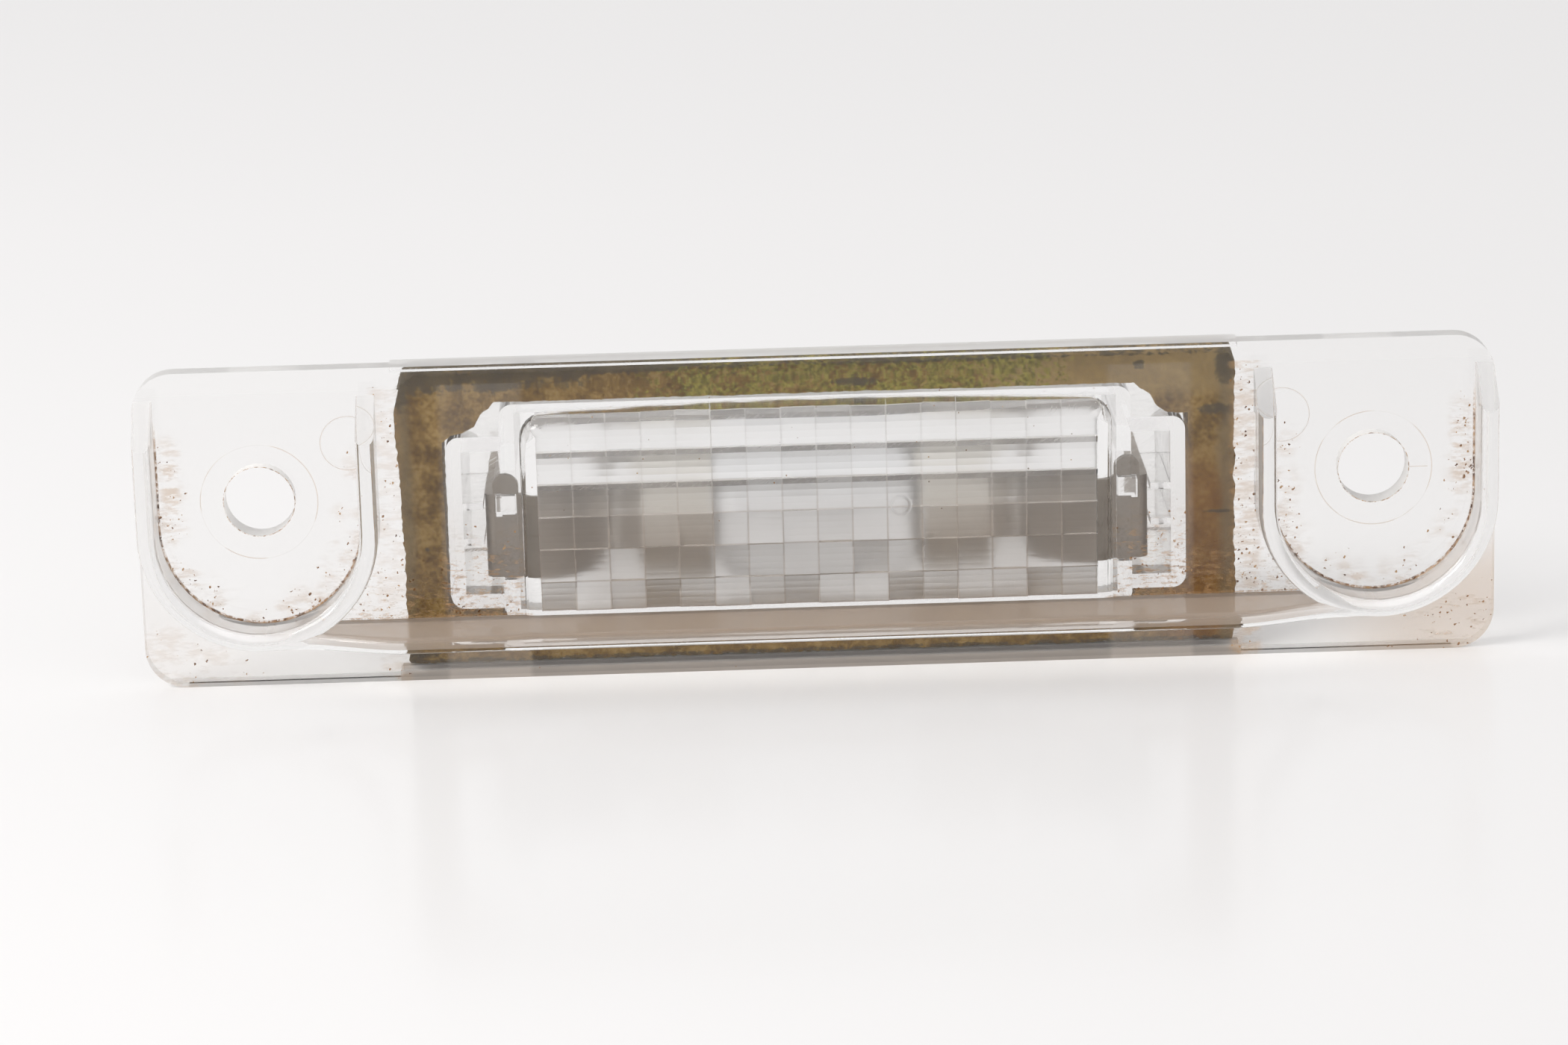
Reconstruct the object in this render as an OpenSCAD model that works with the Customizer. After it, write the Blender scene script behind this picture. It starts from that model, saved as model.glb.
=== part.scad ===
// Number plate lamp for a car: a clear moulded lens that carries two contact springs, a festoon bulb
// and a foam gasket. Millimetres. X runs along the lamp, -Y is the side that shows on the car and
// Z is up. The origin lies on the flange's rear face, midway between the two screw holes.

/* [Flange] */
// Length of the flange
flange_w = 100; // [96:0.5:110]
// Height of the flange below the bar
foot_h = 3.5; // [2.6:0.1:5]
// Thickness of the flange
flange_t = 2; // [1.8:0.1:2.6]
// Radius of the flange's corners
corner_r = 3; // [1:0.5:5]
// Height of the sloped strip along the top edge
crease_h = 1.6; // [1:0.1:1.8]
// How far the sloped strip falls back at the top edge
crease_fall = 0.35; // [0.1:0.05:0.8]

/* [Screw pockets] */
// Distance from the flange's end to a screw hole's centre
hole_inset = 9; // [8.85:0.05:10]
// Distance from the flange's top edge down to the screw holes' centres
hole_drop = 9.75; // [9.55:0.05:10.6]
// Diameter of a screw hole
hole_d = 5.2; // [4:0.1:6]
// Inner radius of the rib round a pocket
pocket_r = 7.45; // [6.6:0.05:7.55]
// Drop from a hole's centre to the centre of the rib's half round
pocket_drop = 1.75; // [1.5:0.05:2.4]
// Wall of the rib and of the bar
rib_t = 1.35; // [1.2:0.05:1.5]
// Height of the rib in front of the flange
rib_h = 3.7; // [3:0.1:5]
// Gap from the flange's top edge to the tips of the rib's arms
arm_gap = 1.9; // [1.8:0.1:3.5]
// Length over which an arm rises to full height
arm_run = 3; // [1:0.1:4]

/* [Bar] */
// Height of the bar in front of the flange over its straight middle
bar_h = 5.7; // [5:0.1:8]
// Length over which each end of the bar falls back to the rib's height
bar_fall = 8.5; // [5:0.5:9]
// Length of the bar from the end of this fall to the middle of a screw hole
bar_tail = 2.5; // [2:0.05:8]

/* [Window] */
// Number of prism cells along the window
cell_cols = 16; // [8:1:16]
// Number of rows of prism cells
cell_rows = 6; // [3:1:6]
// Length of a prism cell along the window
cell_w = 2.57; // [2.3:0.01:2.58]
// Height of a prism cell
cell_h = 2.54; // [2.3:0.01:2.56]
// Deepest relief of the prism cells
relief = 0.8; // [0.4:0.05:0.85]
// Greatest turn of a column of prism cells, in degrees
cell_swing = 2.4; // [0:0.1:3]
// Thickness of the window pane in front of the cells
pane_t = 1.2; // [1:0.1:1.2]
// Height of the pane in front of the flange along its top edge
pane_rise_top = 1.7; // [1:0.1:2.5]
// Height of the pane in front of the flange along the bar
pane_rise_foot = 0.35; // [0.1:0.05:0.8]
// Frame left clear at each end of the cells
pane_frame = 1.2; // [1.15:0.05:1.6]
// Frame left clear above the cells
pane_head = 0.85; // [0.7:0.05:1.2]
// How far the window's top edge bows up in the middle
pane_bow = 0.6; // [0.2:0.1:1]
// Radius of the window's upper corners
pane_corner_r = 2; // [1.4:0.1:2.6]
// Width of the window's rounded edge
pane_edge = 1.1; // [0.6:0.1:1.2]

/* [Rear chamber] */
// Depth of the chamber behind the flange
chamber_d = 13; // [12:0.5:16]
// Wall of the chamber
wall = 1.1; // [0.9:0.05:1.3]
// Radius of the chamber's outer corners
chamber_r = 1; // [0.4:0.1:1.1]
// Length of the side box at each end of the chamber
box_w = 4; // [3.9:0.1:4.7]
// Height of the side boxes
box_h = 13.1; // [11.6:0.1:13.4]
// Height of the side boxes' centre below the screw holes
box_drop = 2.5; // [2.2:0.1:2.8]
// How far the chamber's walls stand outside the window at each end
chamber_over = 1.5; // [1.1:0.1:1.7]
// Thickness of the small guide ribs in the side boxes
guide_t = 0.5; // [0.4:0.05:0.8]
// Distance between the two guide ribs
guide_pitch = 2.7; // [2:0.1:3.5]
// Side of the square peg that holds a contact's foot
peg = 1.4; // [1.1:0.05:1.5]

/* [Gasket] */
// Width of the foam gasket beside the chamber
gasket_leg = 3.85; // [2:0.05:5]
// Thickness of the foam gasket
gasket_t = 4; // [2.5:0.1:5]
// Thickness of the ribs that locate the gasket
locator_t = 0.75; // [0.5:0.05:1]
// Depth of the ribs that locate the gasket
locator_d = 0.8; // [0.6:0.1:3.4]
// Radius of the gasket's corners
gasket_r = 1.2; // [0.5:0.1:2]
// Gap round the gasket
gasket_gap = 0.1; // [0.05:0.05:0.2]

/* [Contacts] */
// Thickness of the contact sheet
sheet_t = 0.5; // [0.4:0.05:0.6]
// Width of the contact sheet
strip_h = 6.3; // [5.5:0.1:6.6]
// Radius of the spring leaf at the middle of the sheet
leaf_r = 5.5; // [5:0.1:5.9]
// Angle through which the spring leaf turns
leaf_turn = 115; // [105:1:120]
// Length by which a blade stands out behind the chamber
blade_out = 3.5; // [2:0.5:6]
// Gap between the flange and a contact's foot
foot_gap = 1; // [0.8:0.1:1.4]
// Radius of the bend between blade and foot at the middle of the sheet
bend_r = 0.5; // [0.4:0.05:0.8]
// Diameter of the hole that takes the bulb's tip
seat_d = 3.4; // [3.1:0.1:4]

/* [Bulb] */
// Overall length of the bulb
bulb_l = 31; // [29:0.5:31.5]
// Diameter of the bulb's glass
bulb_d = 10; // [8.5:0.1:10.2]
// Gap between the glass and the chamber's floor
bulb_gap = 0.4; // [0.2:0.1:0.8]
// Wall of the glass
glass_t = 0.5; // [0.3:0.05:0.7]
// Diameter of the end caps
cap_d = 8.5; // [7:0.1:8.6]
// Sheet thickness of the end caps
cap_t = 0.3; // [0.2:0.05:0.5]
// Length of an end cap
cap_l = 7.75; // [7:0.05:8.5]
// Length of a cap's cone
cone_l = 2.4; // [1.6:0.1:3]
// Diameter of a cap's tip
tip_d = 2.4; // [2:0.1:2.8]
// Length of the glass's round ends
dome_l = 4.6; // [4:0.1:5]
// Distance from the flange's rear face to the bulb's axis
bulb_back = 6.2; // [5.9:0.1:7]
// Length of the filament's coil
coil_l = 9; // [6:0.5:11]
// Diameter of the filament's coil
coil_d = 0.9; // [0.6:0.1:1.4]
// Number of turns in the filament's coil
coil_turns = 14; // [8:1:18]
// Diameter of the filament's wire
wire_d = 0.16; // [0.12:0.02:0.24]
// Diameter of the lead wires
lead_d = 0.4; // [0.3:0.05:0.5]

/* [Hidden] */
$fn = 64;

// Running clearance between pieces that are put together by hand
fit = 0.1;
// Overlap that makes two shapes of one moulding into one solid
sink = 0.3;

hole_x = flange_w / 2 - hole_inset;
// Upper and lower face of the bar, which runs on from the pockets' half rounds
bar_top = -pocket_drop - pocket_r;
bar_foot = bar_top - rib_t;
bar_straight = 2 * (hole_x - bar_fall - bar_tail);
// The bar stays this much inside the round rib where the two run together
bar_inset = 0.05;
flange_top = hole_drop;
flange_foot = bar_foot - foot_h;

cells_w = cell_cols * cell_w;
cells_h = cell_rows * cell_h;
// The lowest row stops a little short at the bar
cells_foot = bar_top + 0.04;
row_cut = 0.25;
cells_top = bar_top + cells_h - row_cut;
pane_half = cells_w / 2 + pane_frame;
pane_top = cells_top + pane_head;

chamber_half = pane_half + chamber_over;
chamber_top = cells_top + 0.65;
chamber_foot = bar_top - 1;
cavity_half = chamber_half - wall;
box_half = chamber_half + box_w;
gasket_w = 2 * (box_half + gasket_leg);
box_top = box_h / 2 - box_drop;
box_foot = box_top - box_h;

// The contact strips and the bulb share one height
contact_z = bar_top + bulb_gap + bulb_d / 2;
strip_top = contact_z + strip_h / 2;
tip_x = bulb_l / 2;
// A leaf's inner face meets the cap's cone where the cone is as wide as the leaf's hole
leaf_face = tip_x - cone_l * (seat_d - tip_d) / (cap_d - tip_d) + fit;
leaf_x = leaf_face + sheet_t / 2 + leaf_r;
foot_y = foot_gap + sheet_t / 2;
// The guide ribs bridge the room between a side box's end wall and the blade
guide_l = 1.5;
blade_x = box_half - wall - guide_l - fit - sheet_t / 2;
// The peg and the contact's tab round it stand in the slot through the chamber's end wall
tab_w = peg + 0.5;
tab_x = chamber_half - wall / 2 + 0.3;
lead_bore = lead_d / 2 + 0.05;

// An XZ outline made into a solid from depth y0 to depth y1
module slab(y0, y1) {
    translate([0, y1, 0]) rotate([90, 0, 0]) linear_extrude(y1 - y0) children();
}

// A YZ outline made into a bar of the given length along X, centred
module along_x(length) {
    rotate([90, 0, 90]) linear_extrude(length, center = true) children();
}

// A rectangle with true round corners
module panel(x0, x1, z0, z1, r) {
    translate([x0 + r, z0]) square([x1 - x0 - 2 * r, z1 - z0]);
    translate([x0, z0 + r]) square([x1 - x0, z1 - z0 - 2 * r]);
    for (x = [x0 + r, x1 - r], z = [z0 + r, z1 - r]) translate([x, z]) circle(r);
}

module both_ends() {
    children();
    mirror([1, 0, 0]) children();
}

// The plate with its round corners and the strip along the top that slopes back
module flange_plate() {
    intersection() {
        slab(-flange_t, 0) panel(-flange_w / 2, flange_w / 2, flange_foot, flange_top, corner_r);
        along_x(flange_w + 2)
            polygon([[0, flange_foot - 1], [-flange_t, flange_foot - 1], [-flange_t, flange_top - crease_h],
                     [-flange_t + crease_fall, flange_top], [0, flange_top]]);
    }
}

// Section of the rib: a wall with a round lip, x outwards from the pocket's centre, y away from the flange
module rib_section() {
    translate([pocket_r, flange_t - sink]) square([rib_t, rib_h - rib_t / 2 + sink]);
    translate([pocket_r + rib_t / 2, flange_t + rib_h - rib_t / 2]) circle(d = rib_t);
}

// The U shaped rib: half round below, two straight arms that run out at their tips
module pocket_rib() {
    arm_l = flange_top - arm_gap + pocket_drop;
    translate([hole_x, 0, -pocket_drop]) {
        rotate([90, 0, 0]) rotate([0, 0, 180]) rotate_extrude(angle = 180) rib_section();
        intersection() {
            for (side = [0, 1]) mirror([side, 0, 0])
                linear_extrude(arm_l) mirror([0, 1]) rib_section();
            along_x(4 * pocket_r)
                polygon([[0, -1], [-flange_t - rib_h - 1, -1], [-flange_t - rib_h - 1, arm_l - arm_run - 1],
                         [-flange_t - rib_h, arm_l - arm_run], [-flange_t, arm_l], [0, arm_l]]);
        }
    }
}

function smooth(u) = let (v = max(0, min(1, u))) v * v * (3 - 2 * v);

// Height of the bar's lip above the flange at a place along the lamp
function bar_height(x) =
    rib_h - bar_inset
    + (bar_h - rib_h + bar_inset) * smooth((bar_straight / 2 + bar_fall - abs(x)) / bar_fall);

// Section of the bar: two corners inside the flange and a half round lip, as [y, z]
function bar_section(h) =
    let (r = rib_t / 2 - bar_inset, mid = (bar_top + bar_foot) / 2)
    concat([[-flange_t + sink, mid - r]],
           [for (a = [-90:20:90]) [-flange_t - h + r - r * cos(a), mid + r * sin(a)]],
           [[-flange_t + sink, mid + r]]);

// A skin over a row of closed rings of equal length, with a flat end at each side
module skin(rings) {
    n = len(rings[0]);
    m = len(rings);
    polyhedron(
        points = [for (ring = rings) each ring],
        faces = concat(
            [[for (i = [0:n - 1]) n - 1 - i]],
            [for (k = [0:m - 2], i = [0:n - 1]) let (j = (i + 1) % n) each
                [[k * n + i, k * n + j, (k + 1) * n + j], [k * n + i, (k + 1) * n + j, (k + 1) * n + i]]],
            [[for (i = [0:n - 1]) (m - 1) * n + i]]));
}

// The bar along the foot of the window, which bows out towards the viewer
module bar() {
    steps = 10;
    right = concat([hole_x], [for (k = [0:steps]) bar_straight / 2 + bar_fall * (1 - k / steps)]);
    stations = concat([for (x = right) -x], [for (k = [len(right) - 1:-1:0]) right[k]]);
    skin([for (x = stations) [for (p = bar_section(bar_height(x))) [x, p[0], p[1]]]]);
}

// Height of the pane's face in front of the flange
function pane_rise(z) =
    pane_rise_foot + (pane_rise_top - pane_rise_foot) * (z - bar_top) / (pane_top - bar_top);

// Outline of the window, drawn in by d, from the lower left round the top to the lower right
function pane_outline(d) =
    let (cx = pane_half - pane_corner_r,
         r = pane_corner_r - d,
         bow_at = function (x) pane_top - pane_bow * pow(x / pane_half, 2),
         cz = bow_at(cx) - pane_corner_r,
         foot = bar_top - rib_t / 2)
    concat([[-pane_half + d, foot]],
           [for (a = [180:-15:90]) [-cx + r * cos(a), cz + r * sin(a)]],
           [for (k = [1:15]) let (x = cx * (k / 8 - 1)) [x, bow_at(x) - d]],
           [for (a = [90:-15:0]) [cx + r * cos(a), cz + r * sin(a)]],
           [[pane_half - d, foot]]);

// The raised window with its rounded edge, before the cells are cut from behind
module window_pane() {
    rear = [for (p = pane_outline(0)) [p[0], -flange_t + sink, p[1]]];
    edge = [for (a = [0:18:90]) [pane_edge * (1 - cos(a)), sin(a)]];
    front = [for (e = edge) [for (p = pane_outline(e[0])) [p[0], -flange_t - pane_rise(p[1]) * e[1], p[1]]]];
    skin(concat([rear], front));
}

// Depth of one prism cell at v down it, from 0 to 1, behind the pane's thinnest place. The upper half of
// the rows is strongly rounded, the lower half is flatter and nods up or down from cell to cell
function cell_relief(col, row, v) =
    let (nod = cos(97 * col - 131 * row), bulge = 1 - pow(2 * v - 1, 2))
    row < cell_rows / 2
        ? relief * (0.55 * bulge + 0.3 * v + 0.07 * (1 + nod))
        : relief * (0.3 + 0.2 * bulge + nod * (0.1 + 0.4 * (v - 0.5)));

// Side view of one column of the hollow behind the pane, as [y, z], with a few points to a cell. It runs
// past the hollow at the top, foot and rear, and no two neighbours end at the same place there
function cell_column(col) =
    let (more = col % 2 == 0 ? 0.3 : 0.45,
         steps = [0.02, 0.2, 0.4, 0.6, 0.8, 0.98],
         front = function (row, v) let (z = cells_top - (row + v) * cell_h)
                 [-flange_t - pane_rise(z) + pane_t + cell_relief(col, row, v), z],
         first = front(0, steps[0]),
         last = front(cell_rows - 1, steps[5]))
    concat([[first[0], cells_top + more]],
           [for (row = [0:cell_rows - 1], v = steps) front(row, v)],
           [[last[0], last[1] - more], [sink + more, last[1] - more], [sink + more, cells_top + more]]);

// The hollow behind the pane, one column of cells after another, each turned a little on its own
module cell_hollow() {
    lap = 0.1;
    intersection() {
        union()
            for (col = [0:cell_cols - 1])
                translate([(col + 0.5) * cell_w - cells_w / 2, 0, 0])
                    rotate([0, 0, cell_swing * sin(151 * col + 40)])
                        along_x(cell_w + lap) polygon(cell_column(col));
        slab(-flange_t - pane_rise_top, sink)
            translate([-pane_half, cells_foot]) square([2 * pane_half, cells_top - cells_foot]);
    }
}

// Outer walls of the chamber and its side boxes, from inside the flange to the rear
module chamber_block() {
    slab(-sink, chamber_d) {
        panel(-chamber_half, chamber_half, chamber_foot, chamber_top, chamber_r);
        panel(-box_half, box_half, box_foot, box_top, chamber_r);
    }
}

// The room for the bulb, the side boxes and the slots that let the contacts in from behind
module chamber_hollow() {
    slab(0, chamber_d + 1) {
        translate([-cavity_half, bar_top]) square([2 * cavity_half, cells_top + 0.02 - bar_top]);
        both_ends() translate([chamber_half, box_foot + wall]) square([box_w - wall, box_h - 2 * wall]);
    }
    slab(foot_gap - 0.2, chamber_d + 1)
        both_ends() translate([cavity_half - sink, contact_z - strip_h / 2 - fit])
            square([wall + 2 * sink, strip_h + tab_w + 2 * fit]);
}

// Peg that carries a contact's foot and the two ribs that steady its blade
module contact_seat() {
    peg_out = 0.6;
    guide_d = chamber_d * 0.7;
    guide_z = strip_top - 0.85;
    slab(-sink, foot_y + sheet_t / 2 + peg_out)
        translate([tab_x - peg / 2, strip_top - peg]) square(peg);
    slab(-sink, guide_d)
        for (z = [guide_z, guide_z - guide_pitch])
            translate([box_half - wall - guide_l, z]) square([guide_l + sink, guide_t]);
}

// Thin ribs behind the flange's long edges that keep the gasket in place
module locators() {
    for (z = [flange_foot, flange_top - locator_t])
        slab(-sink, locator_d) translate([-gasket_w / 2, z]) square([gasket_w, locator_t]);
}

module lens() {
    color([0.93, 0.94, 0.95, 0.45]) {
        difference() {
            union() {
                flange_plate();
                both_ends() pocket_rib();
                bar();
                window_pane();
                chamber_block();
                locators();
            }
            cell_hollow();
            chamber_hollow();
            both_ends() translate([hole_x, 1, 0]) rotate([90, 0, 0]) cylinder(h = flange_t + 2, d = hole_d);
        }
        both_ends() contact_seat();
    }
}

module foam_gasket() {
    gap = gasket_gap;
    top = flange_top - locator_t - gap;
    foot = flange_foot + locator_t + gap;
    color([0.42, 0.35, 0.22])
        slab(0, gasket_t) difference() {
            panel(-gasket_w / 2, gasket_w / 2, foot, top, gasket_r);
            panel(-chamber_half - gap, chamber_half + gap, chamber_foot - gap, chamber_top + gap, chamber_r);
            panel(-box_half - gap, box_half + gap, box_foot - gap, box_top + gap, chamber_r);
        }
}

// Plan of a contact as seen from above, right hand side: blade, bend, foot and spring leaf
module contact_plan() {
    tail = chamber_d + blade_out;
    // Blade
    translate([blade_x - sheet_t / 2, foot_y + bend_r]) square([sheet_t, tail - foot_y - bend_r]);
    // Bend between blade and foot
    translate([blade_x - bend_r, foot_y + bend_r]) intersection() {
        ring(bend_r, sheet_t);
        translate([0, -2 * bend_r]) square(2 * bend_r);
    }
    // Foot
    translate([leaf_x, foot_y - sheet_t / 2]) square([blade_x - bend_r - leaf_x, sheet_t]);
    // Spring leaf, which turns back from the foot towards the bulb's tip
    translate([leaf_x, foot_y + leaf_r]) intersection() {
        ring(leaf_r, sheet_t);
        polygon([[0, 0], [0, -2 * leaf_r], [-2 * leaf_r, -2 * leaf_r], [-2 * leaf_r, 0],
                 [-2 * leaf_r * sin(leaf_turn), -2 * leaf_r * cos(leaf_turn)]]);
    }
}

module ring(r, t) {
    difference() {
        circle(r + t / 2);
        circle(r - t / 2);
    }
}

module contact() {
    difference() {
        union() {
            translate([0, 0, contact_z - strip_h / 2]) linear_extrude(strip_h) contact_plan();
            slab(foot_y - sheet_t / 2, foot_y + sheet_t / 2) translate([tab_x, strip_top]) {
                translate([-tab_w / 2, -sink]) square([tab_w, tab_w / 3 + sink]);
                translate([0, tab_w / 3]) circle(d = tab_w);
            }
        }
        translate([leaf_face, bulb_back, contact_z]) rotate([0, 90, 0])
            cylinder(h = 4 * sheet_t, d = seat_d, center = true);
        slab(foot_y - sheet_t, foot_y + sheet_t)
            translate([tab_x - peg / 2 - fit, strip_top - peg - fit]) square(peg + 2 * fit);
    }
}

module contact_right() {
    color([0.62, 0.62, 0.60]) contact();
}

module contact_left() {
    color([0.62, 0.62, 0.60]) mirror([1, 0, 0]) contact();
}

// Everything on the bulb is turned about its own axis
module bulb_turn() {
    translate([0, bulb_back, contact_z]) rotate([0, 90, 0]) rotate_extrude() children();
}

// Half of the glass's outline, with round ends that close on the lead wires, as [radius, x]
function glass_side(r, straight, dome) =
    concat([for (a = [0:10:80]) [max(lead_bore, r * cos(a)), straight + dome * sin(a)]],
           [[lead_bore, straight + dome]]);

module bulb_glass() {
    r = bulb_d / 2;
    // The round end has narrowed to the sleeve's bore where the cap's rim meets it
    straight = tip_x - cap_l - dome_l * sqrt(1 - pow((cap_d / 2 - cap_t) / r, 2));
    outer = glass_side(r, straight, dome_l);
    inner = glass_side(r - glass_t, straight, dome_l - glass_t);
    mirror_x = function (pts) [for (k = [len(pts) - 1:-1:0]) [pts[k][0], -pts[k][1]]];
    color([0.9, 0.92, 0.92, 0.4])
        bulb_turn() polygon(concat(mirror_x(outer), outer, [for (k = [len(inner) - 1:-1:0]) inner[k]],
                                   [for (p = inner) [p[0], -p[1]]]));
}

// A pressed cap: a sleeve over the glass's end, a cone and a soldered tip with a hole for the lead wire
module bulb_cap_right() {
    // The sleeve's rim stands clear of the glass, and solder fills the tip to this depth
    rim = tip_x - cap_l + 0.06;
    solder = 1.2;
    cone = tip_x - cone_l;
    r = cap_d / 2;
    color([0.75, 0.74, 0.70])
        bulb_turn() polygon([[r - cap_t, rim], [r, rim], [r, cone], [tip_d / 2, tip_x], [lead_bore, tip_x],
                             [lead_bore, tip_x - solder], [tip_d / 2, tip_x - solder],
                             [r - cap_t, cone - cap_t / 2]]);
}

module bulb_cap_left() {
    mirror([1, 0, 0]) bulb_cap_right();
}

// Centre line of the coil, whose ends draw in to the bulb's axis
function coil_point(t) =
    let (draw = min(1, 12 * t, 12 * (1 - t)), a = 360 * coil_turns * t)
    [coil_l * (t - 0.5), coil_d / 2 * draw * cos(a), coil_d / 2 * draw * sin(a)];

module filament() {
    sides = 5;
    rings = coil_turns * 12;
    tube = [for (k = [0:rings]) let (
            t = k / rings,
            p = coil_point(t),
            q = coil_point(t + 0.0001) - coil_point(t - 0.0001),
            w = q / norm(q),
            side = cross(w, [1, 0, 0]),
            u = side / norm(side),
            v = cross(w, u))
        [for (i = [0:sides - 1]) let (a = -360 * i / sides) p + wire_d / 2 * (cos(a) * u + sin(a) * v)]];
    color([0.55, 0.53, 0.50]) translate([0, bulb_back, contact_z]) {
        skin(tube);
        both_ends() translate([coil_l / 2 - wire_d, 0, 0]) rotate([0, 90, 0])
            cylinder(h = tip_x - coil_l / 2 + wire_d - 0.05, d = lead_d);
    }
}

lens();
foam_gasket();
contact_left();
contact_right();
bulb_glass();
bulb_cap_left();
bulb_cap_right();
filament();
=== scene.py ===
"""Looks of the number plate lamp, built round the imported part.

Everything is in metres in the part's own frame: X along the lamp, -Y out of the car's panel towards
the viewer, +Z up, the origin midway between the two screw holes on the flange's rear face.
"""

import logging
import math
from dataclasses import dataclass
from enum import Enum

import bmesh
import bpy
from mathutils import Matrix, Vector, noise


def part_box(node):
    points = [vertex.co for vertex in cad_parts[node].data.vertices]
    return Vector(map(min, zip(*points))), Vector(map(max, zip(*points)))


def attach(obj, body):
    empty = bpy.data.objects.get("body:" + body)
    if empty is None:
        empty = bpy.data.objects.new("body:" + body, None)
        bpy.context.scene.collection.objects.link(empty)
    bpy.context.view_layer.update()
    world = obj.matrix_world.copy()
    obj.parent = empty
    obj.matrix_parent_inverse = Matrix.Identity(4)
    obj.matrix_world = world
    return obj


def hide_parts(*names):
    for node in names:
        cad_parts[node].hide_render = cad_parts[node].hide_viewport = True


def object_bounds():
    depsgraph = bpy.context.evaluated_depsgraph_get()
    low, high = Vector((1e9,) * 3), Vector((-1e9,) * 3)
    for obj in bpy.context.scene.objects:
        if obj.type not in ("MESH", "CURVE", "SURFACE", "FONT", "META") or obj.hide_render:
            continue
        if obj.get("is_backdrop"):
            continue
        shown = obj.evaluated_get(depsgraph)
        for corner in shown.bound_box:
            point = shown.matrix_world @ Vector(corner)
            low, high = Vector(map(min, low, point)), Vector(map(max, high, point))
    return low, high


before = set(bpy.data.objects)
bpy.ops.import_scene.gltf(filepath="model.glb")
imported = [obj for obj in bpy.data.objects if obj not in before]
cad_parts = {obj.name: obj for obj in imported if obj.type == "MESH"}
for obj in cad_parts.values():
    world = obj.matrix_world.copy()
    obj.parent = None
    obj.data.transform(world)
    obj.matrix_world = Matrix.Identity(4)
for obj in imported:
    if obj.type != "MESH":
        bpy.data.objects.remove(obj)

LOG = logging.getLogger("plate_lamp")
MM = 0.001
# in millimetres: height of the bar's upper face, depth of the window's front there and how far the
# window leans out for each millimetre of height
BAR_TOP = -9.2
PANE_FRONT = -2.35
PANE_LEAN = 0.085

Socket = bpy.types.NodeSocket
Entry = Socket | float | int | tuple


class Slot(Enum):
    """Material slots of the part's record."""

    PLASTIC = "clear_plastic"
    FOAM = "foam"
    CONTACT = "contact_metal"
    BULB = "bulb_glass"
    CAP = "cap_metal"
    WIRE = "filament_wire"


class Side(Enum):
    """The two ends of the lamp, by the sign of X."""

    LEFT = -1
    RIGHT = 1


# ---- Shader building


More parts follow.
